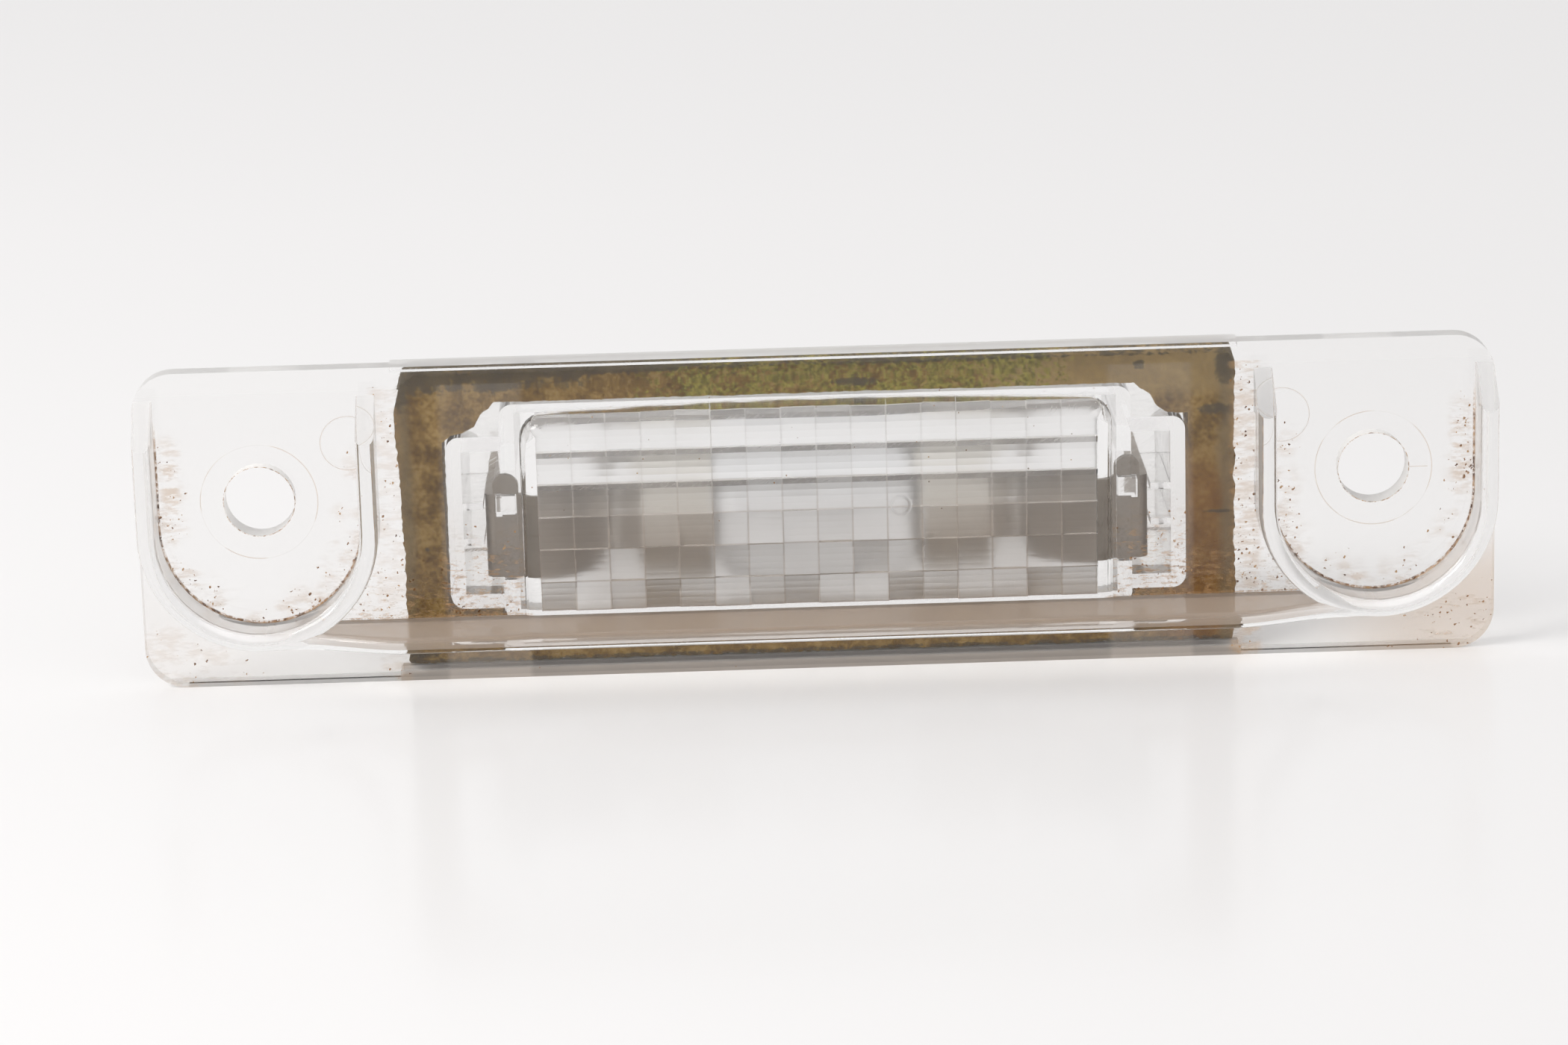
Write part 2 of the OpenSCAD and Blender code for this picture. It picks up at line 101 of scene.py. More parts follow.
@dataclass
class Wires:
    """Adds nodes to one shader tree and links them.

    Args:
        tree: the node tree that is written to.
    """

    tree: bpy.types.NodeTree

    def add(self, kind: str, **settings: object) -> bpy.types.Node:
        """Add one node.

        Args:
            kind: the node's type name.
            settings: properties set on the node.

        Returns:
            The new node.
        """
        node = self.tree.nodes.new(kind)
        for name, value in settings.items():
            setattr(node, name, value)
        return node

    def feed(self, socket: Socket, entry: Entry) -> None:
        """Link a socket to an input, or set the input's own value.

        Args:
            socket: the input.
            entry: an output socket, a number or a tuple.
        """
        if isinstance(entry, bpy.types.NodeSocket):
            self.tree.links.new(entry, socket)
        else:
            socket.default_value = entry

    def fill(self, node: bpy.types.Node, **entries: Entry) -> None:
        """Feed a node's inputs by name.

        Args:
            node: the node.
            entries: what each input gets, with the spaces in its name written as underscores.
        """
        for name, entry in entries.items():
            self.feed(node.inputs[name.replace("_", " ")], entry)

    def math(self, operation: str, *entries: Entry) -> Socket:
        """Add a Math node.

        Args:
            operation: the node's operation.
            entries: its inputs in order.

        Returns:
            The result.
        """
        node = self.add("ShaderNodeMath", operation=operation)
        for socket, entry in zip(node.inputs, entries):
            self.feed(socket, entry)
        return node.outputs[0]

    def _chain(self, operation: str, entries: tuple[Entry, ...]) -> Socket:
        """Join several values by one operation.

        Args:
            operation: the Math node's operation.
            entries: the values.

        Returns:
            The result.
        """
        result = entries[0]
        for entry in entries[1:]:
            result = self.math(operation, result, entry)
        return result

    def total(self, *entries: Entry) -> Socket:
        """Add up several values."""
        return self._chain("ADD", entries)

    def times(self, *entries: Entry) -> Socket:
        """Multiply several values."""
        return self._chain("MULTIPLY", entries)

    def peak(self, *entries: Entry) -> Socket:
        """Take the highest of several values."""
        return self._chain("MAXIMUM", entries)

    def scaled(self, vector: Entry, factors: tuple[float, float, float]) -> Socket:
        """Multiply a vector by constant factors.

        Args:
            vector: the vector.
            factors: one factor for each axis.

        Returns:
            The scaled vector.
        """
        node = self.add("ShaderNodeVectorMath", operation="MULTIPLY")
        self.feed(node.inputs[0], vector)
        self.feed(node.inputs[1], factors)
        return node.outputs[0]

    def parts(self, vector: Entry) -> tuple[Socket, Socket, Socket]:
        """Split a vector.

        Args:
            vector: the vector.

        Returns:
            Its x, y and z.
        """
        node = self.add("ShaderNodeSeparateXYZ")
        self.feed(node.inputs[0], vector)
        return node.outputs[0], node.outputs[1], node.outputs[2]

    def noise(self, at: Entry, scale: Entry, detail: float = 3.0, rough: float = 0.5) -> Socket:
        """Add a noise texture.

        Args:
            at: the place that it is read at.
            scale: its scale.
            detail: number of octaves.
            rough: weight of the finer octaves.

        Returns:
            The noise, mostly between 0.3 and 0.7.
        """
        node = self.add("ShaderNodeTexNoise")
        self.fill(node, Vector=at, Scale=scale, Detail=detail, Roughness=rough)
        return node.outputs["Fac"]

    def ease(self, value: Entry, low: Entry, high: Entry, start: float = 0.0, end: float = 1.0) -> Socket:
        """Map a value smoothly from one range to another.

        Args:
            value: the value.
            low: where the result is start.
            high: where the result is end.
            start: the result at low.
            end: the result at high.

        Returns:
            The mapped value.
        """
        node = self.add("ShaderNodeMapRange", interpolation_type="SMOOTHSTEP")
        self.fill(node, Value=value, From_Min=low, From_Max=high, To_Min=start, To_Max=end)
        return node.outputs["Result"]

    def band(self, value: Entry, low: float, high: float, soft: float) -> Socket:
        """Mark the values between two limits.

        Args:
            value: the value.
            low: lower limit.
            high: upper limit.
            soft: width of each soft border.

        Returns:
            1 between the limits and 0 outside.
        """
        rising = self.ease(value, low - soft / 2, low + soft / 2)
        falling = self.ease(value, high - soft / 2, high + soft / 2, 1.0, 0.0)
        return self.times(rising, falling)

    def ramp(self, value: Entry, *stops: tuple[float, tuple[float, float, float]]) -> Socket:
        """Turn a value into a colour.

        Args:
            value: the value, from 0 to 1.
            stops: place and colour of each stop.

        Returns:
            The colour.
        """
        node = self.add("ShaderNodeValToRGB")
        elements = node.color_ramp.elements
        while len(elements) < len(stops):
            elements.new(0.5)
        for element, (place, colour) in zip(elements, stops):
            element.position = place
            element.color = (*colour, 1.0)
        self.feed(node.inputs[0], value)
        return node.outputs["Color"]

    def blend(self, share: Entry, first: Entry, second: Entry) -> Socket:
        """Blend two colours.

        Args:
            share: how much of the second.
            first: the colour at share 0.
            second: the colour at share 1.

        Returns:
            The blended colour.
        """
        node = self.add("ShaderNodeMix", data_type="RGBA")
        for index, entry in ((0, share), (6, first), (7, second)):
            if isinstance(entry, tuple) and len(entry) == 3:
                entry = (*entry, 1.0)
            self.feed(node.inputs[index], entry)
        return node.outputs[2]

    def mix_shaders(self, share: Entry, first: Socket, second: Socket) -> Socket:
        """Mix two shaders.

        Args:
            share: how much of the second.
            first: the shader at share 0.
            second: the shader at share 1.

        Returns:
            The mixed shader.
        """
        node = self.add("ShaderNodeMixShader")
        for socket, entry in zip(node.inputs, (share, first, second)):
            self.feed(socket, entry)
        return node.outputs[0]

    def veil(self, colour: Entry) -> Socket:
        """Add a milky shader that scatters light to both sides.

        Args:
            colour: its colour.

        Returns:
            The shader.
        """
        sides = [self.add(f"ShaderNodeBsdf{kind}") for kind in ("Diffuse", "Translucent")]
        for side in sides:
            self.fill(side, Color=colour)
        return self.mix_shaders(0.45, *(side.outputs[0] for side in sides))

    def group(self, tree: bpy.types.NodeTree, **entries: Entry) -> Socket:
        """Place a node group.

        Args:
            tree: the group.
            entries: its inputs by name, with spaces written as underscores.

        Returns:
            The group's first output.
        """
        node = self.add("ShaderNodeGroup", node_tree=tree)
        self.fill(node, **entries)
        return node.outputs[0]

    def bump(self, height: Entry, distance: float, strength: float = 1.0) -> Socket:
        """Add a Bump node.

        Args:
            height: the height, from 0 to 1.
            distance: the height that 1 stands for, in metres.
            strength: the node's strength.

        Returns:
            The bent normal.
        """
        node = self.add("ShaderNodeBump")
        self.fill(node, Strength=strength, Distance=distance, Height=height)
        return node.outputs[0]


class Groups:
    """The shader node groups that several materials share."""

    def __init__(self) -> None:
        """Build each group once."""
        self.grime = self._grime()
        self.specks = self._specks()
        self.scratches = self._scratches()
        self.disc = self._disc()

    @staticmethod
    def _begin(name: str, output: str, **inputs: float) -> tuple[Wires, list[Socket], Socket]:
        """Start a group that reads a place and some values.

        Args:
            name: the group's name.
            output: name of its one output.
            inputs: names of the values, with spaces written as underscores, and their defaults.

        Returns:
            The wires, the place and the values, and the output socket.
        """
        tree = bpy.data.node_groups.new(name, "ShaderNodeTree")
        tree.interface.new_socket("Place", in_out="INPUT", socket_type="NodeSocketVector")
        for label, value in inputs.items():
            socket = tree.interface.new_socket(label.replace("_", " "), in_out="INPUT", socket_type="NodeSocketFloat")
            socket.default_value = value
        tree.interface.new_socket(output, in_out="OUTPUT", socket_type="NodeSocketFloat")
        wires = Wires(tree)
        source = wires.add("NodeGroupInput")
        sink = wires.add("NodeGroupOutput")
        return wires, source.outputs[:len(inputs) + 1], sink.inputs[output]

    def _grime(self) -> bpy.types.NodeTree:
        """Patchy dirt whose cover rises with a density from 0 to 1.

        Returns:
            The group.
        """
        wires, (place, scale, density, edge), sink = self._begin("grime", "Mask", Scale=1.0, Density=0.5, Edge=0.08)
        broad = wires.noise(place, scale, 2.0)
        fine = wires.noise(place, wires.times(scale, 6.3), 4.0, 0.7)
        field = wires.total(wires.times(broad, 0.35), wires.times(fine, 0.65))
        limit = wires.ease(density, 0.0, 1.0, 0.78, 0.30)
        mask = wires.ease(field, limit, wires.math("ADD", limit, edge))
        wires.feed(sink, wires.times(mask, wires.ease(density, 0.0, 0.12)))
        return wires.tree

    def _specks(self) -> bpy.types.NodeTree:
        """Separate small grains of dirt.

        Returns:
            The group.
        """
        wires, (place, scale, cover, size), sink = self._begin("specks", "Mask", Scale=1.0, Cover=0.3, Size=0.25)
        cells = wires.add("ShaderNodeTexVoronoi", feature="F1")
        wires.fill(cells, Vector=place, Scale=scale)
        lottery = wires.add("ShaderNodeSeparateColor")
        wires.feed(lottery.inputs[0], cells.outputs["Color"])
        drawn = wires.math("LESS_THAN", lottery.outputs[0], cover)
        reach = wires.times(size, wires.ease(lottery.outputs[1], 0.0, 1.0, 0.4, 1.0))
        dot = wires.ease(cells.outputs["Distance"], wires.times(reach, 0.7), reach, 1.0, 0.0)
        wires.feed(sink, wires.times(dot, drawn))
        return wires.tree

    def _scratches(self) -> bpy.types.NodeTree:
        """Fine scuffs in two directions.

        Returns:
            The group.
        """
        wires, (place, amount), sink = self._begin("scratches", "Mask", Amount=0.5)
        marks = []
        for turn, factors in ((0.5, (0.25, 1.0, 9.0)), (-0.9, (7.0, 1.0, 0.3))):
            turned = wires.add("ShaderNodeMapping")
            wires.fill(turned, Vector=place, Rotation=(0.0, turn, 0.0))
            line = wires.noise(wires.scaled(turned.outputs[0], factors), 2.2, 2.0, 0.6)
            marks.append(wires.ease(line, 0.64, 0.72))
        wires.feed(sink, wires.times(wires.peak(*marks), amount))
        return wires.tree

    def _disc(self) -> bpy.types.NodeTree:
        """Distance from a centre in the XZ plane, for rings and round marks.

        Returns:
            The group.
        """
        wires, (place, centre_x, centre_z), sink = self._begin("disc", "Distance", Centre_X=0.0, Centre_Z=0.0)
        x, _, z = wires.parts(place)
        along = wires.math("SUBTRACT", x, centre_x)
        up = wires.math("SUBTRACT", z, centre_z)
        wires.feed(sink, wires.math("SQRT", wires.total(wires.times(along, along), wires.times(up, up))))
        return wires.tree


def new_material(name: str) -> tuple[bpy.types.Material, Wires, bpy.types.Node, Socket]:
    """Start a material with one Principled shader.

    Args:
        name: the material's name.

    Returns:
        The material, its wires, its Principled node and the place in millimetres.
    """
    material = bpy.data.materials.new(name)
    material.use_nodes = True
    material.node_tree.nodes.clear()
    wires = Wires(material.node_tree)
    shader = wires.add("ShaderNodeBsdfPrincipled")
    output = wires.add("ShaderNodeOutputMaterial")
    wires.fill(output, Surface=shader.outputs[0])
    place = wires.add("ShaderNodeTexCoord").outputs["Object"]
    return material, wires, shader, wires.scaled(place, (1000.0, 1000.0, 1000.0))


def surface_socket(wires: Wires) -> Socket:
    """Find the material output's surface input."""
    return next(n for n in wires.tree.nodes if n.type == "OUTPUT_MATERIAL").inputs["Surface"]


def let_lamps_through(wires: Wires, glass: Socket, tint: tuple[float, float, float]) -> Socket:
    """Let lamp light pass a clear shader, so that what is behind it is lit.

    Args:
        wires: the material's wires.
        glass: the clear shader.
        tint: the colour that lamp light takes on.

    Returns:
        The mixed shader.
    """
    path = wires.add("ShaderNodeLightPath")
    clear = wires.add("ShaderNodeBsdfTransparent")
    wires.fill(clear, Color=(*tint, 1.0))
    return wires.mix_shaders(path.outputs["Is Shadow Ray"], glass, clear.outputs[0])


@dataclass(frozen=True)
class Spot:
    """A shaded place in millimetres, whole and in parts.

    Args:
        place: the place.
        folded: the same with X made positive.
        x: along the lamp.
        y: depth.
        z: height.
        wide: X made positive.
    """

    place: Socket
    folded: Socket
    x: Socket
    y: Socket
    z: Socket
    wide: Socket


@dataclass(frozen=True)
class ClearPlastic:
    """Clear moulded plastic, scuffed and a little hazy, with brown dirt in its corners, white veils that paint light
    onto its edges, ribs and cell borders, and a corner film that is partly painted shade.

    Sizes are in millimetres.

    Args:
        hole_x: distance of the screw holes from the middle.
        pocket_r: inner radius of the rib round a pocket.
        pocket_drop: drop from a hole to the centre of the rib's half round.
        flange_front: depth of the flange's front face.
        flange_mid: height of the flange's middle.
        bar_top: height of the bar's upper face.
        bar_foot: height of the bar's lower face.
        cell_w: length of a prism cell.
        cell_h: height of a prism cell.
        cells_half: half of the length of all cells.
        cells_top: upper edge of the cells.
        gasket_half: half of the length of the gasket behind the flange.
        gasket_top: its upper edge.
        gasket_foot: its lower edge.
        pin_x: distance of the ejector marks from the middle.
        pin_z: their height.
        gate: place of the gate mark along and up the window.
        ior: index of refraction.
    """

    hole_x: float = 41.0
    pocket_r: float = 7.45
    pocket_drop: float = 1.75
    flange_front: float = -2.0
    flange_mid: float = -2.15
    bar_top: float = BAR_TOP
    bar_foot: float = -10.55
    cell_w: float = 2.57
    cell_h: float = 2.54
    cells_half: float = 20.56
    cells_top: float = 5.79
    gasket_half: float = 31.2
    gasket_top: float = 9.0
    gasket_foot: float = -13.3
    pin_x: float = 34.5
    pin_z: float = 3.9
    gate: tuple[float, float] = (6.1, -1.5)
    ior: float = 1.49

    def material(self, groups: Groups) -> bpy.types.Material:
        """Build the material.

        Args:
            groups: the shared node groups.

        Returns:
            The material.
        """
        material, wires, shader, place = new_material("clear_plastic")
        x, y, z = wires.parts(place)
        wide = wires.math("ABSOLUTE", x)
        fold = wires.add("ShaderNodeCombineXYZ")
        wires.fill(fold, X=wide, Y=y, Z=z)
        spot = Spot(place, fold.outputs[0], x, y, z, wide)
        cells, border, height = self._cells(wires, spot)

        scuffs = wires.group(groups.scratches, Place=place, Amount=0.5)
        smear = wires.ease(wires.noise(place, 0.35, 2.0, 0.6), 0.45, 0.75)
        rings = self._rings(wires, groups, spot)
        rough = wires.total(wires.times(scuffs, 0.08), wires.times(smear, 0.05), 0.02, wires.times(rings, 0.3),
                            wires.times(cells, 0.29))
        # the foam is glued to the flange's rear, so that face hardly mirrors
        glued = wires.times(wires.band(y, -0.05, 0.05, 0.01),
                            wires.band(z, self.gasket_foot, self.gasket_top, 0.1),
                            wires.ease(wide, self.gasket_half, self.gasket_half - 0.2))
        wires.fill(shader, Base_Color=(0.975, 0.974, 0.970, 1.0), Transmission_Weight=1.0, IOR=self.ior,
                   Roughness=rough, Specular_Tint=wires.blend(glued, (1.0, 1.0, 1.0), (0.12, 0.12, 0.12)))
        relief = wires.total(wires.times(scuffs, 0.0025), wires.times(rings, 0.014),
                             wires.times(wires.noise(place, 0.8, 1.0), 0.006), height)
        wires.fill(shader, Normal=wires.bump(relief, MM))

        clear = let_lamps_through(wires, shader.outputs[0], (0.91, 0.91, 0.905))
        share, tone = self._haze_and_painted_light(wires, spot, cells, border)
        # the veil mixed in here is milky haze in part and painted light on edges, ribs and cell borders
        hazy = wires.mix_shaders(share, clear, wires.veil(tone))
        cover = self._dirt_and_painted_shade(wires, groups, spot)
        shade = wires.ramp(wires.noise(place, 1.7), (0.38, (0.10, 0.040, 0.013)), (0.5, (0.30, 0.155, 0.068)),
                           (0.62, (0.50, 0.32, 0.17)))
        shade = wires.blend(wires.ease(cover, 0.35, 0.8), (0.60, 0.37, 0.18), shade)
        dirt = wires.add("ShaderNodeBsdfDiffuse")
        wires.fill(dirt, Color=shade)
        wires.feed(surface_socket(wires), wires.mix_shaders(cover, hazy, dirt.outputs[0]))
        return material

    def _cells(self, wires: Wires, spot: Spot) -> tuple[Socket, Socket, Socket]:
        """Mark the prism cells, the lines between them and their own tilts.

        Args:
            wires: the material's wires.
            spot: the place.

        Returns:
            A mask of the cells, a mask of their borders and a height in millimetres.
        """
        rise = wires.times(wires.math("SUBTRACT", spot.z, self.bar_top), PANE_LEAN)
        behind = wires.total(spot.y, -PANE_FRONT, rise)
        inside = wires.total(wires.math("GREATER_THAN", behind, 0.7), wires.math("LESS_THAN", spot.y, -0.1),
                             wires.math("LESS_THAN", spot.wide, self.cells_half),
                             wires.math("GREATER_THAN", spot.z, self.bar_top),
                             wires.math("LESS_THAN", spot.z, self.cells_top))
        cells = wires.math("GREATER_THAN", inside, 4.5)
        along = wires.math("DIVIDE", wires.math("ADD", spot.x, self.cells_half), self.cell_w)
        down = wires.math("DIVIDE", wires.math("SUBTRACT", self.cells_top, spot.z), self.cell_h)
        index = wires.add("ShaderNodeCombineXYZ")
        wires.fill(index, X=wires.math("FLOOR", along), Y=wires.math("FLOOR", down))
        lottery = wires.add("ShaderNodeTexWhiteNoise", noise_dimensions="2D")
        wires.fill(lottery, Vector=index.outputs[0])
        drawn = wires.add("ShaderNodeSeparateColor")
        wires.fill(drawn, Color=lottery.outputs["Color"])
        edges, heights = [], []
        for share, draw, size in ((along, drawn.outputs[0], self.cell_w), (down, drawn.outputs[1], self.cell_h)):
            middle = wires.math("SUBTRACT", wires.math("FRACT", share), 0.5)
            edges.append(wires.ease(wires.math("ABSOLUTE", middle), 0.5 - 0.10 / size, 0.5 - 0.03 / size))
            tilt = wires.times(middle, size, wires.ease(draw, 0.0, 1.0, -0.06, 0.06))
            heights.append(wires.math("ADD", tilt, wires.times(middle, middle, -0.11)))
        border = wires.times(wires.peak(*edges), cells)
        return cells, border, wires.times(wires.total(*heights), cells)

    def _haze_and_painted_light(self, wires: Wires, spot: Spot, cells: Socket, border: Socket) -> tuple[Socket, Socket]:
        """Milky haze, faint all over and beige on the bar, with white veils on narrow side faces, ribs, cell borders
        and the bottom edge that are painted light.

        Args:
            wires: the material's wires.
            spot: the place.
            cells: mask of the prism cells.
            border: mask of the lines between them.

        Returns:
            Its share from 0 to 1 and its colour.
        """
        times, ease, band, peak = wires.times, wires.ease, wires.band, wires.peak
        y, z, wide = spot.y, spot.z, spot.wide
        _, ahead, up = wires.parts(wires.add("ShaderNodeNewGeometry").outputs["True Normal"])
        # narrow faces along the flange's outline and in the screw holes get a white veil: painted light standing in for
        # light piped through the plate
        narrow = ease(wires.math("ABSOLUTE", ahead), 0.6, 0.3)
        flange = band(y, self.flange_front - 0.1, 0.9, 0.02)
        level = wires.math("ABSOLUTE", wires.math("SUBTRACT", z, self.flange_mid))
        far = peak(ease(level, 11.0, 11.6), wires.math("GREATER_THAN", wide, 46.9))
        bore = ease(self._reach(wires, spot, 0.0), 2.75, 2.65)
        edge = times(narrow, flange, peak(times(far, 0.82), bore))
        # film on the bar; a veil on the pocket ribs, white and partly beige on their walls, is painted light that lifts
        # their dark refraction; a beige veil on the flange's foot below the gasket, and along its bottom edge a white
        # veil that is painted light
        front = wires.math("LESS_THAN", y, self.flange_front - 0.1)
        film = times(ease(up, 0.35, 0.8), front, band(z, self.bar_foot - 0.05, self.bar_top + 0.05, 0.02),
                     ease(wide, 43.0, 33.0, 0.25, 1.0), 0.56)
        reach = self._reach(wires, spot, self.pocket_drop, True)
        wall = times(front, band(reach, self.pocket_r - 0.02, self.pocket_r + 0.12, 0.01))
        rib = times(front, band(reach, self.pocket_r + 0.1, self.pocket_r + 1.5, 0.1))
        strip = times(ease(z, self.gasket_foot + 0.2, self.gasket_foot - 0.1),
                      ease(wide, self.gasket_half + 0.1, self.gasket_half - 0.1), 0.62)
        # white veil along the flange's bottom edge: painted light lifting the shade where it meets the table
        line = times(ease(z, -13.70, -13.80), 0.75)
        # the window's cells and the plain panes beside them; the white veil on the cell borders and their narrow faces
        # is painted highlight lines
        lower = times(cells, ease(z, 2.5, -3.5))
        ends = times(cells, ease(wide, 18.0, 15.5), ease(wide, 7.0, 9.5))
        aside = times(band(wide, 21.5, 27.6, 0.6), self._plate(wires, spot), ease(z, 4.5, -4.0, 0.10, 0.22))
        parts = [times(mask, weight) for mask, weight in ((edge, 0.94), (lower, 0.20), (cells, 0.17), (border, 0.30),
                                                          (times(cells, narrow), 0.45), (ends, 0.10))]
        faint = ease(wide, self.gasket_half - 0.2, self.gasket_half + 0.8, 0.008, 0.02)
        share = wires.total(faint, *parts, aside, peak(strip, line), peak(times(wall, 0.30), times(rib, 0.14), film))
        beige = peak(ease(film, 0.0, 0.4), times(lower, 0.8), times(wall, 0.35), strip, times(aside, 2.5))
        # the whiter tone on those narrow faces is painted light piped through the plate
        clean = wires.blend(edge, (0.92, 0.91, 0.90), (1.0, 0.995, 0.985))
        return wires.math("MINIMUM", share, 0.96), wires.blend(beige, clean, (0.56, 0.465, 0.385))

    def _plate(self, wires: Wires, spot: Spot) -> Socket:
        """Mark the flange's front face."""
        return wires.band(spot.y, self.flange_front - 0.05, self.flange_front + 0.05, 0.01)

    def _reach(self, wires: Wires, spot: Spot, drop: float, stem: bool = False) -> Socket:
        """Distance from a screw hole's centre or from the pocket's U shaped centre line.

        Args:
            wires: the material's wires.
            spot: the place.
            drop: how far the centre lies below the hole.
            stem: True keeps the distance level above the centre, as along the rib's arms.

        Returns:
            The distance in millimetres.
        """
        across = wires.math("SUBTRACT", spot.wide, self.hole_x)
        below = wires.math("ADD", spot.z, drop)
        if stem:
            below = wires.math("MINIMUM", below, 0.0)
        return wires.math("SQRT", wires.total(wires.times(across, across), wires.times(below, below)))

    def _rings(self, wires: Wires, groups: Groups, spot: Spot) -> Socket:
        """Worn ring of each screw head, round ejector marks on the rear and the small gate mark.

        Args:
            wires: the material's wires.
            groups: the shared node groups.
            spot: the place.

        Returns:
            A mask from 0 to 1.
        """
        hole = self._reach(wires, spot, 0.0)
        head = wires.times(wires.band(hole, 4.26, 4.34, 0.1), self._plate(wires, spot), 0.4)
        pin = wires.group(groups.disc, Place=spot.folded, Centre_X=self.pin_x, Centre_Z=self.pin_z)
        mark = wires.times(wires.band(pin, 1.82, 1.98, 0.1), wires.band(spot.y, -0.1, 0.1, 0.02))
        gate = wires.group(groups.disc, Place=spot.place, Centre_X=self.gate[0], Centre_Z=self.gate[1])
        dot = wires.times(wires.band(gate, 0.6, 0.8, 0.12), wires.math("LESS_THAN", spot.y, -2.4))
        return wires.peak(head, wires.times(mark, 0.7), dot)

    def _dirt_and_painted_shade(self, wires: Wires, groups: Groups, spot: Spot) -> Socket:
        """Brown dirt beside the ribs, round the window and on the bar, and a tan film at the lower right corner that is
        partly painted shade.

        Args:
            wires: the material's wires.
            groups: the shared node groups.
            spot: the place.

        Returns:
            A mask from 0 to 1.
        """
        times, ease, band, peak = wires.times, wires.ease, wires.band, wires.peak
        x, y, z, wide = spot.x, spot.y, spot.z, spot.wide
        near = band(y, self.flange_front - 0.30, self.flange_front + 0.05, 0.05)
        above = wires.math("GREATER_THAN", z, self.bar_top)
        reach = self._reach(wires, spot, self.pocket_drop, True)
        fine = wires.noise(spot.place, 3.0, 2.0, 0.7)
        broad = wires.noise(spot.place, 0.45, 1.0)
        brushed = wires.noise(wires.scaled(spot.place, (0.5, 1.0, 1.6)), 1.3, 3.0, 0.65)
        streaks = wires.noise(wires.scaled(spot.place, (0.6, 1.0, 1.9)), 1.9, 3.0, 0.7)

        # where dirt gathers
        flank = times(ease(wide, 44.0, 46.5), band(z, -2.0, 4.5, 3.0))
        pocket = times(ease(reach, 4.6, 7.0), wires.math("LESS_THAN", reach, self.pocket_r), ease(z, 5.0, 0.0),
                       ease(broad, 0.40, 0.60))
        aisle = times(band(wide, 30.4, 32.6, 0.6), ease(x, -5.0, 5.0, 0.45, 0.9))
        sill = times(band(wide, 21.0, 28.0, 1.0), ease(z, -1.0, -8.0, 0.0, 0.8), above)
        neck = times(band(wide, 26.5, 36.0, 2.0), ease(z, -3.0, -8.5, 0.0, 0.6), above)
        corner = times(ease(wide, 40.0, 46.0), ease(z, -8.0, -10.5), ease(x, -5.0, 5.0, 0.45, 1.0))
        beside = times(band(reach, 6.2, self.pocket_r, 0.5), flank, ease(x, -5.0, 5.0, 0.35, 1.3))

        # loose grains, smears and films there; the tan film is partly painted shade
        cluster = wires.total(times(pocket, 1.1), times(aisle, 1.5), sill, neck, corner, beside)
        cluster = times(cluster, ease(broad, 0.38, 0.58, 0.3, 1.2))
        ragged = wires.add("ShaderNodeVectorMath", operation="ADD")
        wires.feed(ragged.inputs[0], spot.place)
        wires.feed(ragged.inputs[1], times(fine, 0.5))
        grains = [wires.group(groups.specks, Place=ragged.outputs[0], Scale=scale, Size=size,
                              Cover=times(cluster, cover))
                  for scale, size, cover in ((3.4, 0.38, 0.42), (1.9, 0.24, 0.07))]
        smear = times(ease(streaks, 0.48, 0.70), wires.total(sill, neck), 0.8)
        haze = times(ease(brushed, 0.36, 0.68), wires.total(times(pocket, 0.36), times(corner, 0.46),
                                                            times(aisle, 0.42)))
        # tan film on the lower outer corners, heavier on the right: partly dirt, partly painted shade
        tan = times(ease(wide, 35.0, 45.0), ease(z, -3.0, -9.0), wires.math("GREATER_THAN", reach, self.pocket_r),
                    ease(x, -5.0, 5.0, 0.04, 0.30))
        outer = times(band(reach, 5.7, 7.2, 0.9), flank, ease(brushed, 0.40, 0.66), 0.42)

        # round the screw heads and holes
        hole = self._reach(wires, spot, 0.0)
        ring = times(band(hole, 4.28, 4.34, 0.05), ease(wires.noise(spot.place, 0.3, 1.0), 0.46, 0.58, 0.06, 0.42))
        rim = times(band(hole, 2.5, 2.66, 0.04), ease(fine, 0.45, 0.62, 0.12, 0.8))
        split = times(band(z, -0.05, 0.02, 0.03), band(x, 43.6, 45.0, 0.1), 0.3)
        loose = times(peak(times(peak(*grains), 0.95), smear, haze, tan, outer, ring, rim, split),
                      self._plate(wires, spot))

        # thin lines along the ribs, the bar and the ejector marks, and stray grains
        seam = times(band(reach, self.pocket_r - 0.12, self.pocket_r + 0.06, 0.12), ease(z, 6.5, 3.5),
                     ease(fine, 0.32, 0.60, 0.2, 0.95), near)
        foot = times(band(z, self.bar_top - 0.04, self.bar_top + 0.10, 0.08), ease(wide, 38.0, 36.0),
                     ease(fine, 0.35, 0.6, 0.05, 0.6), near)
        pin = wires.group(groups.disc, Place=spot.folded, Centre_X=self.pin_x - 0.1, Centre_Z=self.pin_z)
        pin = times(band(pin, 2.0, 2.06, 0.05), band(y, -0.1, 0.1, 0.02), 0.35)
        upper = times(ease(wide, 22.5, 20.0), ease(z, -2.0, 2.5))
        stray = wires.group(groups.specks, Place=spot.place, Scale=2.2, Size=0.17,
                            Cover=wires.math("ADD", times(upper, 0.12), 0.008))
        stray = times(stray, wires.math("LESS_THAN", y, self.flange_front + 0.05), 0.75)
        return peak(seam, foot, pin, loose, stray)


@dataclass(frozen=True)
class Stain:
    """One dark stain on the foam.

    Args:
        x: its middle along the lamp.
        z: its height.
        wide: half of its width.
        high: half of its height.
    """

    x: float
    z: float
    wide: float
    high: float


